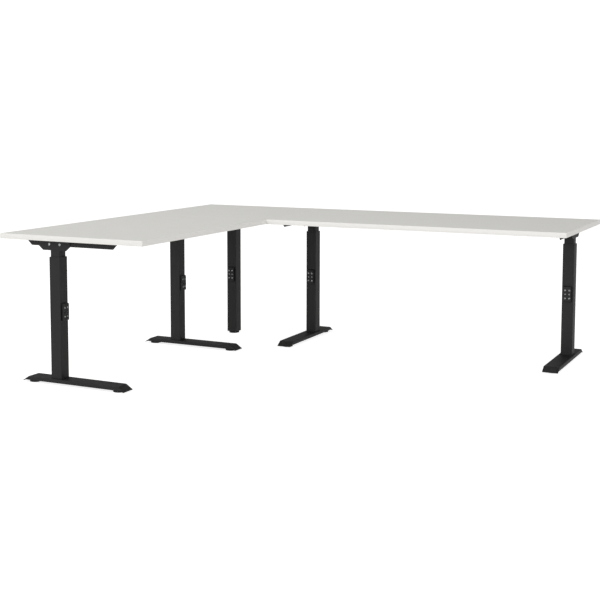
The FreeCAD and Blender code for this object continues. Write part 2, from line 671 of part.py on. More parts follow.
SEAM_X = DESK_LEFT + " + wing_depth"
SEAM_Y = DESK_BACK + " - wing_depth"
board("left_board", DESK_LEFT, SEAM_X, "0 - left_length / 2", SEAM_Y + " - seam_gap")
board("corner_board", DESK_LEFT, SEAM_X, SEAM_Y, DESK_BACK)
board("right_board", SEAM_X + " + seam_gap", "right_length / 2", SEAM_Y, DESK_BACK)

# ---------------------------------------------------------------- check and write

doc.recompute()
faults = []
for item in doc.Objects:
    if any(word in state for state in item.State for word in ("Invalid", "Error")):
        faults.append(item.Label + " failed")
    if item.TypeId == "PartDesign::Pocket" and item.BaseFeature.Shape.Volume - item.Shape.Volume < 1:
        faults.append(item.Label + " cuts nothing")
for node in NODES:
    if node.Shape.isNull() or not node.Shape.isValid():
        faults.append(node.Label + " has no valid shape")
if faults:
    raise RuntimeError("; ".join(faults))

os.makedirs("parts", exist_ok=True)
for node in NODES:
    node.Shape.exportStep("parts/" + node.Label + ".step")
print(len(NODES), "nodes written")
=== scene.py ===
"""Looks of an L-shaped desk on five telescopic legs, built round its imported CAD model."""

import json
import math

import bmesh
import bpy
from bpy.props import FloatProperty, FloatVectorProperty, IntProperty, PointerProperty
from mathutils import Matrix, Vector


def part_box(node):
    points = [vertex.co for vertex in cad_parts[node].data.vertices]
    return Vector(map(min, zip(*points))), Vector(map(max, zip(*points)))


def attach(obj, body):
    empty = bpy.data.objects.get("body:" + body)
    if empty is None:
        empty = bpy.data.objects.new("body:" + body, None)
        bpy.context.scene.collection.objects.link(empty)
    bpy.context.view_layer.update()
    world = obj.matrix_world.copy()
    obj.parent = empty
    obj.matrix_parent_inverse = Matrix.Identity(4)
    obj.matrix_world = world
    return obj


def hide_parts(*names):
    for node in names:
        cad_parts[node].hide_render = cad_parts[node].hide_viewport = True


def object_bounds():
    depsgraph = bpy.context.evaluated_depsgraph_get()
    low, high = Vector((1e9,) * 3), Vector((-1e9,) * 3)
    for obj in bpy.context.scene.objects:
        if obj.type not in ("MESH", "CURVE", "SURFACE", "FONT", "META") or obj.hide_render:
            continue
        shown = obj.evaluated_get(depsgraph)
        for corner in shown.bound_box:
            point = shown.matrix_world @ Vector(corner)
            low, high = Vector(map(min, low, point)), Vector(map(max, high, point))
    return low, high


bl_info = {
    "name": "Corner desk on telescopic legs",
    "version": (1, 0, 0),
    "blender": (4, 5, 0),
    "location": "View3D > Sidebar > Desk",
    "description": "Boards, bent arms, screws, glides and finishes of a corner desk",
    "category": "Object",
}

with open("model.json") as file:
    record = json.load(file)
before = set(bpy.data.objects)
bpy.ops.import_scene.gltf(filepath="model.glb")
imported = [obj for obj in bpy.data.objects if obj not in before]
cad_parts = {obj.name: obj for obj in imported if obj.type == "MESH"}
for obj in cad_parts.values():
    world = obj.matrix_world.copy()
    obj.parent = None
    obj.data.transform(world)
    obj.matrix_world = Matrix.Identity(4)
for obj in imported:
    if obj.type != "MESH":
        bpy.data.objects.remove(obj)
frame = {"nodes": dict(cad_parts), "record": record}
NODES = frame["nodes"]
CAD_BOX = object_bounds()

T_LEGS = ("left_end", "left_mid", "right_mid", "right_end")
LEGS = T_LEGS + ("corner",)
SCREWS_PER_LEG = 6
BOLTS_PER_LEG = 2
BOARDS = ("left_board", "corner_board", "right_board")
# the axis, 0 for X and 1 for Y, across which a wing's board has its edge towards the user
KNEE_SIDE = {"left_board": 0, "right_board": 1}
# the side of a leg where the web of its arm and the heads of its bolts are, as a sign on Y
WEB_SIDE = {"left_end": -1, "left_mid": 1, "right_mid": -1, "right_end": 1}
MM = 0.001
AT_LEG = 60 * MM  # a bolt nearer than this to a tube's axis belongs to that leg
SAME = 0.001 * MM  # two points or faces closer than this are one
ON_CUT = 0.0001 * MM  # a point closer than this to a cutting plane lies on it
TOUCHING = 0.1 * MM  # a wall closer than this to the desk's box lies on its outline
SHARP = math.radians(32)  # edges that turn more than this stay sharp


def linear(hex_colour):
    """An sRGB hex colour as linear red, green and blue."""
    parts = [int(hex_colour[k:k + 2], 16) / 255 for k in (1, 3, 5)]
    return tuple(c / 12.92 if c <= 0.04045 else ((c + 0.055) / 1.055) ** 2.4 for c in parts)


# ---------------------------------------------------------------- sizes and colours

class DeskSizes(bpy.types.PropertyGroup):
    """Sizes of the details that the CAD model leaves out."""

    band_thick: FloatProperty(name="Edge band", description="Thickness of the edge band",
                              default=2 * MM, unit="LENGTH")
    edge_round: FloatProperty(name="Edge radius", description="Radius routed on the outer edges",
                              default=1.2 * MM, unit="LENGTH")
    seam_round: FloatProperty(name="Seam radius", description="Radius on the edges that butt",
                              default=0.2 * MM, unit="LENGTH")
    bend_round: FloatProperty(name="Bend radius", description="Outer radius of the folded arms",
                              default=4.5 * MM, unit="LENGTH")
    arm_sheet: FloatProperty(name="Arm sheet", description="Thickness of the arms' sheet steel",
                             default=3 * MM, unit="LENGTH")
    arm_lip: FloatProperty(name="Arm lip", description="Depth of the lip along an arm's far side",
                           default=8 * MM, unit="LENGTH")
    glide_ribs: IntProperty(name="Glide ribs", description="Ribs moulded round each glide",
                            default=12, min=3)
    round_steps: IntProperty(name="Round steps", description="Segments round each turned part",
                             default=32, min=12)


class DeskColours(bpy.types.PropertyGroup):
    """Colours of the desk's finishes."""

    melamine: FloatVectorProperty(name="Melamine", description="Faces of the boards",
                                  subtype="COLOR", size=3, default=linear("#DEDDD8"))
    edge_band: FloatVectorProperty(name="Edge band", description="Edges of the boards",
                                   subtype="COLOR", size=3, default=linear("#E6E4E0"))
    powder_coat: FloatVectorProperty(name="Powder coat", description="Steel tubes, feet and arms",
                                     subtype="COLOR", size=3, default=linear("#0F0F10"))
    plastic: FloatVectorProperty(name="Plastic", description="Guide sleeves and glides",
                                 subtype="COLOR", size=3, default=linear("#101011"))
    zinc: FloatVectorProperty(name="Zinc", description="Screws, bolts, nuts and stems",
                              subtype="COLOR", size=3, default=linear("#D3D6DA"))
    floor: FloatVectorProperty(name="Floor", description="Studio floor",
                               subtype="COLOR", size=3, default=linear("#BCBCBB"))


# ---------------------------------------------------------------- materials

def add_node(tree, kind, settings=None, inputs=None):
    """A shader node with its settings, and values or links for its inputs."""
    node = tree.nodes.new("ShaderNode" + kind)
    for key, value in (settings or {}).items():
        setattr(node, key, value)
    for key, value in (inputs or {}).items():
        if isinstance(value, bpy.types.NodeSocket):
            tree.links.new(value, node.inputs[key])
        else:
            node.inputs[key].default_value = value
    return node


def new_material(name):
    """A node material with its surface shader and the object's own coordinates."""
    material = bpy.data.materials.new(name)
    material.use_nodes = True
    tree = material.node_tree
    tree.nodes.clear()
    surface = add_node(tree, "BsdfPrincipled")
    add_node(tree, "OutputMaterial", inputs={"Surface": surface.outputs["BSDF"]})
    place = add_node(tree, "TexCoord").outputs["Object"]
    return material, tree, surface, place


def noise(tree, place, grain, detail, **more):
    """Clouds or speckles with a grain of a real size, as a factor about a half."""
    inputs = {"Vector": place, "Scale": 1 / grain, "Detail": detail, **more}
    return add_node(tree, "TexNoise", inputs=inputs).outputs["Fac"]


def shade(tree, surface, factor, colours):
    """Colours a surface from the first to the second colour with a factor."""
    ramp = add_node(tree, "ValToRGB", inputs={"Fac": factor})
    for stop, position, colour in zip(ramp.color_ramp.elements, (0.3, 0.7), colours):
        stop.position = position
        stop.color = (*colour, 1)
    tree.links.new(ramp.outputs["Color"], surface.inputs["Base Color"])


def gloss(tree, surface, factor, smooth, rough):
    """Makes a surface rougher with a factor."""
    spread = add_node(tree, "MapRange", inputs={"Value": factor, "To Min": smooth, "To Max": rough})
    tree.links.new(spread.outputs["Result"], surface.inputs["Roughness"])


def relief(tree, surface, height, strength, depth):
    """Gives a surface a fine texture of a depth."""
    inputs = {"Height": height, "Strength": strength, "Distance": depth}
    bump = add_node(tree, "Bump", inputs=inputs)
    tree.links.new(bump.outputs["Normal"], surface.inputs["Normal"])


def shades(colour, *factors):
    """A colour made darker or lighter by each factor."""
    return [tuple(min(c * factor, 1) for c in colour) for factor in factors]


def melamine(colour):
    """Pressed melamine paper on chipboard: an even grey with a fine pearl grain that breaks up the
    reflections, and a very faint cloudiness in the print."""
    material, tree, surface, place = new_material("melamine_pearl")
    cloud = noise(tree, place, 90 * MM, 3.0)
    speckle = noise(tree, place, 2.5 * MM, 4.0)
    mostly = add_node(tree, "Math", {"operation": "MULTIPLY"}, {0: speckle, 1: 0.6})
    both = add_node(tree, "Math", {"operation": "MULTIPLY_ADD"},
                    {0: cloud, 1: 0.4, 2: mostly.outputs[0]})
    shade(tree, surface, both.outputs[0], shades(colour, 0.975, 1.025))
    # the pressed pearl grain is about 1 mm across; drawn at 1.5 mm so that it reads up close
    relief(tree, surface, noise(tree, place, 1.5 * MM, 2.0), 0.18, 0.1 * MM)
    surface.inputs["Roughness"].default_value = 0.5
    surface.inputs["IOR"].default_value = 1.5
    return material


def abs_edge_band(colour):
    """Extruded ABS edge band, 2 mm thick: a little lighter and smoother than the faces, with faint
    scraper lines along it from trimming."""
    material, tree, surface, place = new_material("abs_edge_band")
    drawn_out = add_node(tree, "Mapping", inputs={"Vector": place, "Scale": (1, 1, 12)})
    lines = noise(tree, drawn_out.outputs["Vector"], 40 * MM, 3.0)
    shade(tree, surface, lines, shades(colour, 0.985, 1.015))
    relief(tree, surface, lines, 0.08, 0.1 * MM)
    surface.inputs["Roughness"].default_value = 0.42
    surface.inputs["IOR"].default_value = 1.53
    return material


def powder_coat(colour):
    """Fine-texture epoxy-polyester powder coat on steel: a dull black with a sandy orange peel that
    spreads the highlights along the tubes."""
    material, tree, surface, place = new_material("powder_coat_black")
    # the real texture is 0.3 to 0.5 mm grit; drawn at 1.6 mm, the finest that still shows up close
    grit = noise(tree, place, 1.6 * MM, 3.0, Roughness=0.6)
    shade(tree, surface, grit, shades(colour, 0.85, 1.2))
    gloss(tree, surface, noise(tree, place, 60 * MM, 2.0), 0.46, 0.56)
    relief(tree, surface, grit, 0.35, 0.12 * MM)
    surface.inputs["IOR"].default_value = 1.45
    return material


def moulded_plastic(name, colour, roughness):
    """Injection-moulded acetal or nylon: black with a spark-eroded matt skin."""
    material, tree, surface, place = new_material(name)
    shade(tree, surface, noise(tree, place, 25 * MM, 2.0), shades(colour, 0.9, 1.1))
    relief(tree, surface, noise(tree, place, 0.8 * MM, 2.0), 0.2, 0.05 * MM)
    surface.inputs["Roughness"].default_value = roughness
    surface.inputs["IOR"].default_value = 1.53
    return material


def zinc_plate(colour):
    """Bright electroplated zinc on steel: a cold silver with a faint blue and yellow passivation
    and slightly uneven gloss."""
    material, tree, surface, place = new_material("zinc_plate_bright")
    film = noise(tree, place, 6 * MM, 2.0)
    red, green, blue = colour
    bluish, yellowish = (red * 0.93, green * 0.97, blue), (red, green * 0.98, blue * 0.88)
    shade(tree, surface, film, (bluish, yellowish))
    gloss(tree, surface, film, 0.22, 0.36)
    surface.inputs["Metallic"].default_value = 1.0
    return material


def glow(tree, thrown, extra):
    """A light strength for backdrops: what falls on the desk, and more where the lens sees it."""
    seen = add_node(tree, "LightPath").outputs["Is Camera Ray"]
    strength = add_node(tree, "Math", {"operation": "MULTIPLY_ADD"}, {0: seen, 1: extra, 2: thrown})
    return strength.outputs["Value"]


def studio_floor(colour):
    """Seamless white backdrop paper, lit so evenly that only the touch of each foot stays grey. Its
    underside is clear, so that the desk can be looked at from below."""
    material, tree, surface, _ = new_material("backdrop_paper")
    surface.inputs["Base Color"].default_value = (*colour, 1)
    surface.inputs["Roughness"].default_value = 0.9
    surface.inputs["Specular IOR Level"].default_value = 0.0
    surface.inputs["Emission Color"].default_value = (1, 1, 1, 1)
    tree.links.new(glow(tree, 0.28, 0.55), surface.inputs["Emission Strength"])
    sheet_side = add_node(tree, "NewGeometry").outputs["Backfacing"]
    clear = add_node(tree, "BsdfTransparent").outputs["BSDF"]
    mixed = add_node(tree, "MixShader",
                     inputs={0: sheet_side, 1: surface.outputs["BSDF"], 2: clear})
    tree.links.new(mixed.outputs["Shader"], tree.nodes["Material Output"].inputs["Surface"])
    return material


# ---------------------------------------------------------------- mesh helpers

def new_piece(bm, name, body, finishes, replaced=()):
    """A finished mesh as a piece that rides on a CAD body."""
    bmesh.ops.recalc_face_normals(bm, faces=bm.faces)
    mesh = bpy.data.meshes.new(name)
    bm.to_mesh(mesh)
    bm.free()
    mesh.shade_smooth()
    mesh.set_sharp_from_angle(angle=SHARP)
    for finish in finishes:
        mesh.materials.append(bpy.data.materials[finish])
    piece = bpy.data.objects.new(name, mesh)
    bpy.context.scene.collection.objects.link(piece)
    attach(piece, body)
    if replaced:
        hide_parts(*replaced)
    return piece


def leg_frame(leg):
    """Matrix of a leg's own frame: the tubes' axis on Z, +X towards the user, floor at zero."""
    low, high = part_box(leg + "_lower_tube")
    block_low, block_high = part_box(leg + "_clamp_box")
    ahead = (block_low + block_high) - (low + high)
    turn = math.atan2(ahead.y, ahead.x)
    return upright_at(low, high, 0) @ Matrix.Rotation(turn, 4, "Z")


def upright_at(low, high, height):
    """Matrix of an upright axis through the middle of a box, with its origin at a height."""
    return Matrix.Translation(((low.x + high.x) / 2, (low.y + high.y) / 2, height))


def extent(points):
    """Lowest and highest corner of points."""
    axes = list(zip(*points))
    return Vector([min(axis) for axis in axes]), Vector([max(axis) for axis in axes])


def span(node, place):
    """Lowest and highest corner of a CAD node in a frame of its own."""
    back = place.inverted()
    return extent([back @ vertex.co for vertex in NODES[node].data.vertices])


def islands(node, place):
    """Box of each separate solid of a CAD node, in a frame, as (lowest, highest) corners."""
    bm = bmesh.new()
    bm.from_mesh(NODES[node].data)
    bmesh.ops.remove_doubles(bm, verts=bm.verts, dist=SAME)
    bm.transform(place.inverted())
    found, seen = [], set()
    for start in bm.verts:
        if start in seen:
            continue
        seen.add(start)
        queue, members = [start], []
        while queue:
            vertex = queue.pop()
            members.append(vertex.co)
            for edge in vertex.link_edges:
                other = edge.other_vert(vertex)
                if other not in seen:
                    seen.add(other)
                    queue.append(other)
        found.append(extent(members))
    bm.free()
    return found


def edges_of(items):
    """The edges in what an operator returned."""
    return [item for item in items if isinstance(item, bmesh.types.BMEdge)]


def verts_of(items):
    """The vertices in what an operator returned."""
    return [item for item in items if isinstance(item, bmesh.types.BMVert)]


def block(low, high):
    """A box between two corners."""
    bm = bmesh.new()
    bmesh.ops.create_cube(bm, size=1.0, matrix=Matrix.Translation((low + high) / 2)
                          @ Matrix.Diagonal((*(high - low), 1)))
    return bm


def pull(bm, faces, along):
    """Faces drawn out into a solid along a vector."""
    drawn = bmesh.ops.extrude_face_region(bm, geom=faces)["geom"]
    bmesh.ops.translate(bm, verts=verts_of(drawn), vec=along)


def soften(bm, geom, radius, steps, affect="EDGES"):
    """Edges or corners rounded, or chamfered with a single step."""
    bmesh.ops.bevel(bm, geom=geom, offset=radius, offset_type="OFFSET", segments=steps, profile=0.5,
                    affect=affect, material=-1, clamp_overlap=True)


def cut_off(bm, point, outwards):
    """What lies outwards of a plane cut away, with the edges of the open rim returned."""
    everything = bm.verts[:] + bm.edges[:] + bm.faces[:]
    cut = bmesh.ops.bisect_plane(bm, geom=everything, dist=ON_CUT, plane_co=point,
                                 plane_no=outwards, clear_outer=True)["geom_cut"]
    return edges_of(cut)


def outline(bm, points):
    """A closed chain of edges through points."""
    verts = [bm.verts.new(point) for point in points]
    return [bm.edges.new((verts[k], verts[(k + 1) % len(verts)])) for k in range(len(verts))]


def turned(bm, profile, steps):
    """A profile of (radius, height) pairs turned about Z, its ends closed on the axis."""
    verts = [bm.verts.new((radius, 0, height)) for radius, height in profile]
    edges = [bm.edges.new(pair) for pair in zip(verts, verts[1:])]
    bmesh.ops.spin(bm, geom=verts + edges, cent=(0, 0, 0), axis=(0, 0, 1), angle=math.tau,
                   steps=steps, use_merge=True)
    bmesh.ops.remove_doubles(bm, verts=bm.verts, dist=SAME)


def rim_at(bm, height):
    """The open edge loop at a height."""
    return [edge for edge in bm.edges if edge.is_boundary
            and all(abs(vertex.co.z - height) < SAME for vertex in edge.verts)]


def recess(bm, height, points, depth, point_deep=0.0):
    """Closes the open rim at a height with a face that has a socket sunk into it."""
    rim = rim_at(bm, height)
    mouth = outline(bm, [(x, y, height) for x, y in points])
    bmesh.ops.bridge_loops(bm, edges=rim + mouth)
    wall = bmesh.ops.extrude_edge_only(bm, edges=mouth)["geom"]
    low = verts_of(wall)
    bmesh.ops.translate(bm, verts=low, vec=(0, 0, -depth))
    floor_edges = [edge for edge in edges_of(wall) if all(vertex in low for vertex in edge.verts)]
    cap = bmesh.ops.edgeloop_fill(bm, edges=floor_edges)["faces"]
    centre = bmesh.ops.poke(bm, faces=cap)["verts"]
    bmesh.ops.translate(bm, verts=centre, vec=(0, 0, -point_deep))


def ring(radius, corners):
    """Corners of a regular polygon by its radius."""
    turns = [k * math.tau / corners for k in range(corners)]
    return [(radius * math.cos(turn), radius * math.sin(turn)) for turn in turns]


def hexagon(across):
    """Corners of a hexagon by its width across the flats."""
    return ring(across / math.sqrt(3), 6)


def cross(reach, width):
    """Corners of a plus-shaped driver recess."""
    half = width / 2
    one_arm = ((reach, -half), (reach, half), (half, half))
    turns = [Matrix.Rotation(quarter * math.tau / 4, 2) for quarter in range(4)]
    return [tuple(turn @ Vector(point)) for turn in turns for point in one_arm]


def threaded(bm, radius, depth, pitch, low, high, steps):
    """A rod with a helical thread between two heights, cut flat, closed below and open above."""
    turns = math.ceil((high - low) / pitch) + 2
    start = low - pitch
    middle, half_crest = start + pitch / 2, pitch * 0.05
    points = [(radius - depth, start), (radius, middle - half_crest), (radius, middle + half_crest),
              (radius - depth, start + pitch)]
    verts = [bm.verts.new((x, 0, z)) for x, z in points]
    edges = [bm.edges.new(pair) for pair in zip(verts, verts[1:])]
    bmesh.ops.spin(bm, geom=verts + edges, cent=(0, 0, 0), axis=(0, 0, 1), angle=math.tau * turns,
                   dvec=(0, 0, pitch / steps), steps=steps * turns, use_merge=False)
    bmesh.ops.remove_doubles(bm, verts=bm.verts, dist=SAME)
    for height, side in ((low, -1), (high, 1)):
        rim = cut_off(bm, (0, 0, height), (0, 0, side))
        if side == -1:
            bmesh.ops.edgeloop_fill(bm, edges=rim)


def stamp(target, template, matrix):
    """Copies a template mesh into a bigger one at a place."""
    before = len(target.verts)
    target.from_mesh(template)
    target.verts.ensure_lookup_table()
    bmesh.ops.transform(target, matrix=matrix, verts=target.verts[before:])


def as_template(bm, name):
    """A bmesh as a mesh to be stamped."""
    bmesh.ops.recalc_face_normals(bm, faces=bm.faces)
    mesh = bpy.data.meshes.new(name)
    bm.to_mesh(mesh)
    bm.free()
    return mesh


# ---------------------------------------------------------------- operators

class DESK_OT_finishes(bpy.types.Operator):
    """Makes the finishes and gives every CAD node the one its record names"""

    bl_idname = "desk.finishes"
    bl_label = "Finishes"

    def execute(self, context):
        """Materials by record slot, put on the CAD nodes."""
        colours = context.scene.desk_colours
        by_slot = {
            "laminate": melamine(colours.melamine),
            "powder_coat": powder_coat(colours.powder_coat),
            "guide_plastic": moulded_plastic("acetal_black", colours.plastic, 0.4),
            "glide_plastic": moulded_plastic("nylon_black", colours.plastic, 0.5),
            "zinc": zinc_plate(colours.zinc),
        }
        abs_edge_band(colours.edge_band)
        for part in frame["record"]["subparts"]:
            mesh = NODES[part["node"]].data
            mesh.materials.clear()
            mesh.materials.append(by_slot[part["material_slot"]])
        return {"FINISHED"}


class DESK_OT_boards(bpy.types.Operator):
    """Three melamine-faced panels, each with an edge band glued round it"""

    bl_idname = "desk.boards"
    bl_label = "Boards"

    def execute(self, context):
        """One panel and one edge band per board."""
        sizes = context.scene.desk_sizes
        for board in BOARDS:
            low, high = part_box(board)
            self.panel(board, low, high, sizes)
            self.band(board, low, high, sizes)
        return {"FINISHED"}

    def panel(self, board, low, high, sizes):
        """The chipboard panel inside its band."""
        inset = Vector((sizes.band_thick, sizes.band_thick, 0))
        bm = block(low + inset, high - inset)
        new_piece(bm, board + "_panel", "top", ["melamine_pearl"], [board])

    def band(self, board, low, high, sizes):
        """A closed ring round the panel, rounded more on the desk's outline than at the seams."""
        bm = block(low, high)
        flat = [face for face in bm.faces if abs(face.normal.z) > 0.9]
        for face in flat:
            bmesh.ops.inset_region(bm, faces=[face], thickness=sizes.band_thick,
                                   use_even_offset=True)
        bmesh.ops.delete(bm, geom=flat, context="FACES_ONLY")
        bmesh.ops.bridge_loops(bm, edges=[edge for edge in bm.edges if edge.is_boundary])
        free, butted = [], []
        for edge in bm.edges:
            start, end = (vertex.co for vertex in edge.verts)
            along_x = abs(start.y - end.y) < SAME
            axis = 1 if along_x else 0
            wall = (start[axis] + end[axis]) / 2
            upright = abs(start.z - end.z) > high.z - low.z - SAME
            if upright or min(abs(wall - low[axis]), abs(wall - high[axis])) > SAME:
                continue
            on_outline = min(abs(wall - corner[axis]) for corner in CAD_BOX) < TOUCHING
            at_knees = KNEE_SIDE.get(board) == axis
            (free if on_outline or at_knees else butted).append(edge)
        for edges, radius, steps in ((free, sizes.edge_round, 4), (butted, sizes.seam_round, 1)):
            left = [edge for edge in edges if edge.is_valid]
            if left:
                soften(bm, left, radius, steps)
        new_piece(bm, board + "_edge_band", "top", ["abs_edge_band"])


class DESK_OT_arms(bpy.types.Operator):
    """Folded sheet arms under the boards, with their bend radii and bevelled ends"""

    bl_idname = "desk.arms"
    bl_label = "Arms"

    def execute(self, context):
        """One folded arm per T-leg."""
        sizes = context.scene.desk_sizes
        for leg in T_LEGS:
            self.arm(leg, sizes)
        return {"FINISHED"}

    def arm(self, leg, sizes):
        """A web on the bolts' side, a flange on top and a small lip down on the far side; the tips
        are cut back at 45 degrees from below."""
        place = leg_frame(leg)
        low, high = span(leg + "_arm", place)
        side, sheet, lip = WEB_SIDE[leg], sizes.arm_sheet, sizes.arm_lip
        web, far = side * high.y, -side * high.y
        web_inside, far_inside = web - side * sheet, far + side * sheet
        corners = [(web, low.z), (web_inside, low.z), (web_inside, high.z - sheet),
                   (far_inside, high.z - sheet), (far_inside, high.z - lip), (far, high.z - lip),
                   (far, high.z), (web, high.z)]
        bm = bmesh.new()
        verts = [bm.verts.new((low.x, y, z)) for y, z in corners]
        bm.faces.new(verts)
        outside, inside = verts[6:8], verts[2:4]
        for chosen, radius in ((outside, sizes.bend_round), (inside, sizes.bend_round - sheet)):
            soften(bm, chosen, radius, 4, "VERTICES")
        pull(bm, bm.faces[:], (high.x - low.x, 0, 0))
        for tip, way in ((low.x, -1), (high.x, 1)):
            bmesh.ops.edgeloop_fill(bm, edges=cut_off(bm, (tip, 0, high.z), (way, 0, -1)))
        bm.transform(place)
        new_piece(bm, leg + "_bent_arm", "top", ["powder_coat_black"],
                  [leg + "_arm"])


class DESK_OT_clamp_screws(bpy.types.Operator):
    """Six threaded set screws with hexagon sockets in each clamp block"""

    bl_idname = "desk.clamp_screws"
    bl_label = "Clamp screws"

    def execute(self, context):
        """One set of six per leg, each screw as long as its CAD solid."""
        steps = context.scene.desk_sizes.round_steps
        templates = {}
        for leg in LEGS:
            place = leg_frame(leg)
            solids = islands(leg + "_clamp_screws", place)
            if len(solids) != SCREWS_PER_LEG:
                raise RuntimeError(leg + " has no full set of screws")
            bm = bmesh.new()
            for low, high in solids:
                length = round(high.x - low.x, 5)
                if length not in templates:
                    templates[length] = self.template((high.y - low.y) / 2, length, steps)
                spot = Matrix.Translation((low.x, (low.y + high.y) / 2, (low.z + high.z) / 2))
                stamp(bm, templates[length], place @ spot @ Matrix.Rotation(math.tau / 4, 4, "Y"))
            new_piece(bm, leg + "_set_screws", leg + "_screws", ["zinc_plate_bright"],
                      [leg + "_clamp_screws"])
        return {"FINISHED"}

    def template(self, radius, length, steps):
        """One M8 set screw along Z, its tip at zero."""
        bm = bmesh.new()
        crown_high, thread_deep, pitch = 0.6 * MM, 0.6 * MM, 1.25 * MM
        neck = length - crown_high
        threaded(bm, radius, thread_deep, pitch, 0, neck, steps)
        crown = bmesh.new()
        turned(crown, [(radius - 0.3 * MM, neck), (radius - 0.2 * MM, neck + 0.25 * MM),
                       (radius - 0.7 * MM, length)], steps)
        socket, socket_deep, drill_point = 4 * MM, 4 * MM, 1 * MM
        recess(crown, length, hexagon(socket), socket_deep, drill_point)
        stamp(bm, as_template(crown, "set_screw_crown"), Matrix())
        return as_template(bm, "set_screw")


class DESK_OT_arm_bolts(bpy.types.Operator):
    """Flanged button-head bolts and hexagon nuts through the heads of the legs"""

    bl_idname = "desk.arm_bolts"
    bl_label = "Arm bolts"

    def execute(self, context):
        """A head, a threaded end and a nut for each CAD bolt."""
        steps = context.scene.desk_sizes.round_steps
        solids = [(low, high, (low + high) / 2) for low, high in islands("arm_bolts", Matrix())]
        bm = bmesh.new()
        template = None
        for leg in T_LEGS:
            place = leg_frame(leg)
            near = [(place.inverted() @ middle, high - low) for low, high, middle in solids
                    if (middle - place.translation).xy.length < AT_LEG]
            if len(near) != BOLTS_PER_LEG:
                raise RuntimeError(leg + " has no pair of bolts")
            side = WEB_SIDE[leg]
            # the bolt is made along Z from its nut to its head, then laid across the leg
            lay = Matrix.Rotation(-side * math.tau / 4, 4, "X")
            for middle, size in near:
                reach = max(size.x, size.y)
                template = template or self.template(reach, steps)
                spot = Matrix.Translation((middle.x, middle.y - side * reach / 2, middle.z))
                stamp(bm, template, place @ spot @ lay)
        new_piece(bm, "arm_bolts_and_nuts", "top", ["zinc_plate_bright"], ["arm_bolts"])
        return {"FINISHED"}

    def template(self, reach, steps):
        """One M6 bolt along Z with its nut at the start and its head at the end."""
        bm = bmesh.new()
        radius, thread_deep, pitch, head_deep = 3 * MM, 0.5 * MM, 1 * MM, 3.5 * MM
        shoulder = reach - head_deep
        threaded(bm, radius, thread_deep, pitch, 0, shoulder, max(steps // 2, 12))
        head = bmesh.new()
        turned(head, [(2 * MM, shoulder), (6 * MM, shoulder), (6 * MM, shoulder + 0.9 * MM),
                      (5.6 * MM, shoulder + 1.2 * MM), (5 * MM, shoulder + 1.3 * MM),
                      (4.4 * MM, shoulder + 2.5 * MM), (3.4 * MM, shoulder + 3.2 * MM),
                      (2.8 * MM, reach)], steps)
        socket, socket_deep, drill_point = 4 * MM, 2.2 * MM, 0.5 * MM
        recess(head, reach, hexagon(socket), socket_deep, drill_point)
        stamp(bm, as_template(head, "button_head"), Matrix())
        nut = bmesh.new()
        nut_start, nut_end, nut_wide = 0.2 * MM, 5 * MM, 9.4 * MM
        nut_bore, bore_steps, clear_of_bore = 3.1 * MM, 18, 0.9 * MM
        rims = [outline(nut, [(x, y, nut_start) for x, y in corners])
                for corners in (hexagon(nut_wide), ring(nut_bore, bore_steps))]
        flat = bmesh.ops.bridge_loops(nut, edges=rims[0] + rims[1])["faces"]
        pull(nut, flat, (0, 0, nut_end - nut_start))
        outside = [edge for edge in nut.edges
                   if min(vertex.co.xy.length for vertex in edge.verts) > nut_bore + clear_of_bore]
        soften(nut, outside, 0.35 * MM, 2)
        stamp(bm, as_template(nut, "hexagon_nut"), Matrix())
        return as_template(bm, "arm_bolt")


class DESK_OT_board_screws(bpy.types.Operator):
    """Pan-head wood screws with a cross recess under the boards"""

    bl_idname = "desk.board_screws"
    bl_label = "Board screws"

    def execute(self, context):
        """One screw for each CAD solid."""
        template = self.template()
        upside_down = Matrix.Rotation(math.tau / 2, 4, "X")
        bm = bmesh.new()
        for low, high in islands("board_screws", Matrix()):
            stamp(bm, template, upright_at(low, high, low.z) @ upside_down)
        new_piece(bm, "wood_screws", "top", ["zinc_plate_bright"], ["board_screws"])
        return {"FINISHED"}

    def template(self):
        """One screw along -Z, the top of its head at zero."""
        bm = bmesh.new()
        shank, head_deep, length, few_steps = 2 * MM, 2.5 * MM, 14 * MM, 20
        turned(bm, [(0, -length), (shank, -length + 4 * MM), (shank, -head_deep),
                    (4.9 * MM, -head_deep), (5 * MM, -1.5 * MM), (4.3 * MM, -0.6 * MM),
                    (3.2 * MM, 0)], few_steps)
        cross_reach, cross_wide, cross_deep, cross_point = 2.2 * MM, 1 * MM, 1.4 * MM, 0.4 * MM
        recess(bm, 0, cross(cross_reach, cross_wide), cross_deep, cross_point)
        return as_template(bm, "wood_screw")


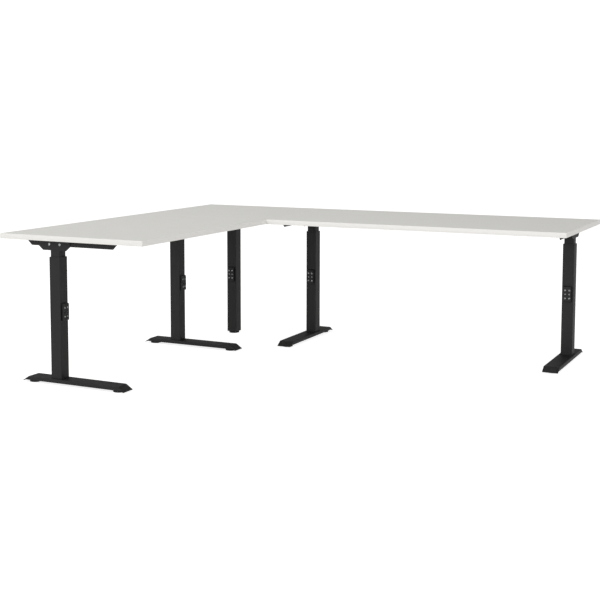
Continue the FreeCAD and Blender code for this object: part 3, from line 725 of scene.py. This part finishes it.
class DESK_OT_foot_bolts(bpy.types.Operator):
    """Hexagon bolts that hold each foot to its tube"""

    bl_idname = "desk.foot_bolts"
    bl_label = "Foot bolts"

    def execute(self, context):
        """Four bolts per foot."""
        template = self.template(context.scene.desk_sizes.round_steps)
        for leg in T_LEGS:
            place = leg_frame(leg)
            bm = bmesh.new()
            for low, high in islands(leg + "_foot_bolts", place):
                stamp(bm, template, place @ upright_at(low, high, low.z))
            new_piece(bm, leg + "_hex_bolts", leg + "_leg", ["zinc_plate_bright"],
                      [leg + "_foot_bolts"])
        return {"FINISHED"}

    def template(self, steps):
        """One M8 bolt upwards with a washer face, the far side of its head at zero."""
        bm = bmesh.new()
        radius, length, head_deep, head_reach = 4 * MM, 15 * MM, 4 * MM, 6.5 * MM
        washer, tip_chamfer = head_deep + 0.5 * MM, 0.4 * MM
        turned(bm, [(0, length), (radius - 0.3 * MM, length), (radius, length - tip_chamfer),
                    (radius, washer), (head_reach, washer), (head_reach, head_deep),
                    (0, head_deep)], steps)
        head = bmesh.new()
        bmesh.ops.create_circle(head, cap_ends=True, segments=6, radius=head_reach)
        pull(head, head.faces[:], (0, 0, head_deep))
        far_edges = [edge for edge in head.edges
                     if all(vertex.co.z < SAME for vertex in edge.verts)]
        soften(head, far_edges, 0.8 * MM, 2)
        stamp(bm, as_template(head, "hexagon_head"), Matrix())
        return as_template(bm, "foot_bolt")


class DESK_OT_glides(bpy.types.Operator):
    """Moulded levelling glides with ribs, each on a threaded stem"""

    bl_idname = "desk.glides"
    bl_label = "Glides"

    def execute(self, context):
        """One moulding and one stem per CAD glide."""
        sizes = context.scene.desk_sizes
        base = self.moulding(sizes)
        for leg in LEGS:
            ends = ("",) if leg == "corner" else ("_back", "_front")
            for name in [leg + end + "_glide" for end in ends]:
                low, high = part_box(name)
                place = upright_at(low, high, 0)
                bm = bmesh.new()
                stamp(bm, base, place)
                new_piece(bm, name + "_moulding", name, ["nylon_black"], [name])
                bm = self.stem(high.z, sizes)
                bm.transform(place)
                new_piece(bm, name + "_stem", name, ["zinc_plate_bright"])
        return {"FINISHED"}

    def stem(self, top, sizes):
        """An M10 threaded stem from inside the hub up to its flat end."""
        bm = bmesh.new()
        radius, thread_deep, pitch, in_hub = 5 * MM, 0.75 * MM, 1.5 * MM, 17.5 * MM
        threaded(bm, radius, thread_deep, pitch, in_hub, top, sizes.round_steps)
        bmesh.ops.edgeloop_fill(bm, edges=rim_at(bm, top))
        return bm

    def moulding(self, sizes):
        """Skirt, cone and hub turned about Z, with ribs from the hub to the skirt."""
        bm = bmesh.new()
        skirt, skirt_high, hub, hub_high = 29 * MM, 7 * MM, 9 * MM, 18 * MM
        profile = [(0, 0), (skirt - 1.8 * MM, 0), (skirt - 0.7 * MM, 0.4 * MM), (skirt, 1.6 * MM),
                   (skirt, 5.6 * MM), (skirt - 0.5 * MM, 6.6 * MM), (skirt - 1.6 * MM, skirt_high),
                   (24 * MM, skirt_high), (15 * MM, 9.5 * MM), (hub + 1.4 * MM, 10.5 * MM),
                   (hub + 0.2 * MM, 11.5 * MM), (hub, 12.5 * MM), (hub, hub_high - 0.7 * MM),
                   (hub - 0.7 * MM, hub_high), (0, hub_high)]
        turned(bm, profile, sizes.round_steps * 2)
        template = as_template(self.rib(), "glide_rib")
        for k in range(sizes.glide_ribs):
            stamp(bm, template, Matrix.Rotation(k * math.tau / sizes.glide_ribs, 4, "Z"))
        return as_template(bm, "glide_moulding")

    def rib(self):
        """One rib along X, sunk at both ends into the turned body."""
        bm = bmesh.new()
        thick, low = 1.6 * MM, 5 * MM
        side = [(8 * MM, low), (26 * MM, low), (25.5 * MM, 7.2 * MM), (15 * MM, 12 * MM),
                (8 * MM, 13.5 * MM)]
        bm.faces.new([bm.verts.new((x, 0, z)) for x, z in side])
        pull(bm, bm.faces[:], (0, thick, 0))
        bmesh.ops.translate(bm, verts=bm.verts, vec=(0, -thick / 2, 0))
        soften(bm, bm.edges[:], 0.3 * MM, 1)
        return bm


class DESK_OT_stage(bpy.types.Operator):
    """Pale floor, soft studio light and the camera"""

    bl_idname = "desk.stage"
    bl_label = "Stage"

    def execute(self, context):
        """Everything that isn't the desk."""
        scene = context.scene
        self.camera(scene)
        self.floor(scene)
        self.light(scene, "key_light", (-2.5, -7.0, 3.2), (-0.2, 0, 0.6), 3.5, 128)
        self.light(scene, "side_light", (6.0, -3.0, 2.2), (0, 0, 0.6), 4.0, 105)
        self.light(scene, "top_light", (-1.6, -0.2, 5.2), (-0.9, 0, 0.5), 4.0, 68)
        self.room(scene)
        scene.view_settings.view_transform = "Standard"
        return {"FINISHED"}

    def room(self, scene):
        """A bright room in front of the desk and a dim one behind it, so that the sides of the
        tubes that turn away from the light stay black."""
        world = bpy.data.worlds.new("studio")
        world.use_nodes = True
        tree = world.node_tree
        where = add_node(tree, "TexCoord").outputs["Object"]
        depth = add_node(tree, "SeparateXYZ", inputs={"Vector": where}).outputs["Y"]
        strength = add_node(tree, "MapRange", inputs={
            "Value": depth, "From Min": -0.6, "From Max": 0.8, "To Min": 0.84, "To Max": 0.24})
        backdrop = tree.nodes["Background"]
        backdrop.inputs["Color"].default_value = (1, 1, 1, 1)
        tree.links.new(glow(tree, strength.outputs["Result"], 1.0), backdrop.inputs["Strength"])
        scene.world = world

    def camera(self, scene):
        """A long lens a little above the top, looking over the user's quadrant."""
        data = bpy.data.cameras.new("desk_camera")
        down, left = math.radians(5.402), math.radians(26.511)
        data.lens, data.sensor_width = 69.634, 36
        data.shift_x, data.shift_y = 0.034, -0.125
        camera = bpy.data.objects.new("desk_camera", data)
        camera.location = (2.4255, -5.3013, 1.2754)
        camera.rotation_euler = (math.tau / 4 - down, 0, left)
        scene.collection.objects.link(camera)
        scene.camera = camera

    def floor(self, scene):
        """A wide sheet of backdrop paper under the glides."""
        bm = bmesh.new()
        half_width, below_glides = 60, 0.2 * MM
        bmesh.ops.create_grid(bm, x_segments=1, y_segments=1, size=half_width)
        bmesh.ops.translate(bm, verts=bm.verts, vec=(0, 0, -below_glides))
        mesh = bpy.data.meshes.new("studio_floor")
        bm.to_mesh(mesh)
        bm.free()
        mesh.materials.append(studio_floor(scene.desk_colours.floor))
        floor = bpy.data.objects.new("studio_floor", mesh)
        scene.collection.objects.link(floor)

    def light(self, scene, name, spot, aim, size, power):
        """A square soft box aimed at a point."""
        data = bpy.data.lights.new(name, "AREA")
        data.shape, data.size, data.energy = "SQUARE", size, power
        lamp = bpy.data.objects.new(name, data)
        lamp.location = spot
        lamp.rotation_mode = "QUATERNION"
        lamp.rotation_quaternion = (Vector(aim) - Vector(spot)).to_track_quat("-Z", "Y")
        scene.collection.objects.link(lamp)


class DESK_PT_sidebar(bpy.types.Panel):
    """The desk's sizes, colours and pieces"""

    bl_idname = "DESK_PT_sidebar"
    bl_label = "Corner desk"
    bl_space_type = "VIEW_3D"
    bl_region_type = "UI"
    bl_category = "Desk"

    def draw(self, context):
        """Sizes, colours and one button per operator."""
        for group in (context.scene.desk_sizes, context.scene.desk_colours):
            box = self.layout.box()
            for key in group.__annotations__:
                box.prop(group, key)
        for operator in PIECES:
            self.layout.operator(operator.bl_idname)


PIECES = (DESK_OT_stage, DESK_OT_finishes, DESK_OT_boards, DESK_OT_arms, DESK_OT_clamp_screws,
          DESK_OT_arm_bolts, DESK_OT_board_screws, DESK_OT_foot_bolts, DESK_OT_glides)
CLASSES = (DeskSizes, DeskColours) + PIECES + (DESK_PT_sidebar,)


def register():
    """Registers the classes and the desk's settings."""
    for cls in CLASSES:
        bpy.utils.register_class(cls)
    bpy.types.Scene.desk_sizes = PointerProperty(type=DeskSizes)
    bpy.types.Scene.desk_colours = PointerProperty(type=DeskColours)


def unregister():
    """Removes the settings and the classes."""
    del bpy.types.Scene.desk_colours
    del bpy.types.Scene.desk_sizes
    for cls in reversed(CLASSES):
        bpy.utils.unregister_class(cls)


def main():
    """Builds the desk."""
    register()
    for operator in PIECES:
        getattr(bpy.ops.desk, operator.bl_idname.removeprefix("desk."))()


if __name__ == "__main__":
    main()
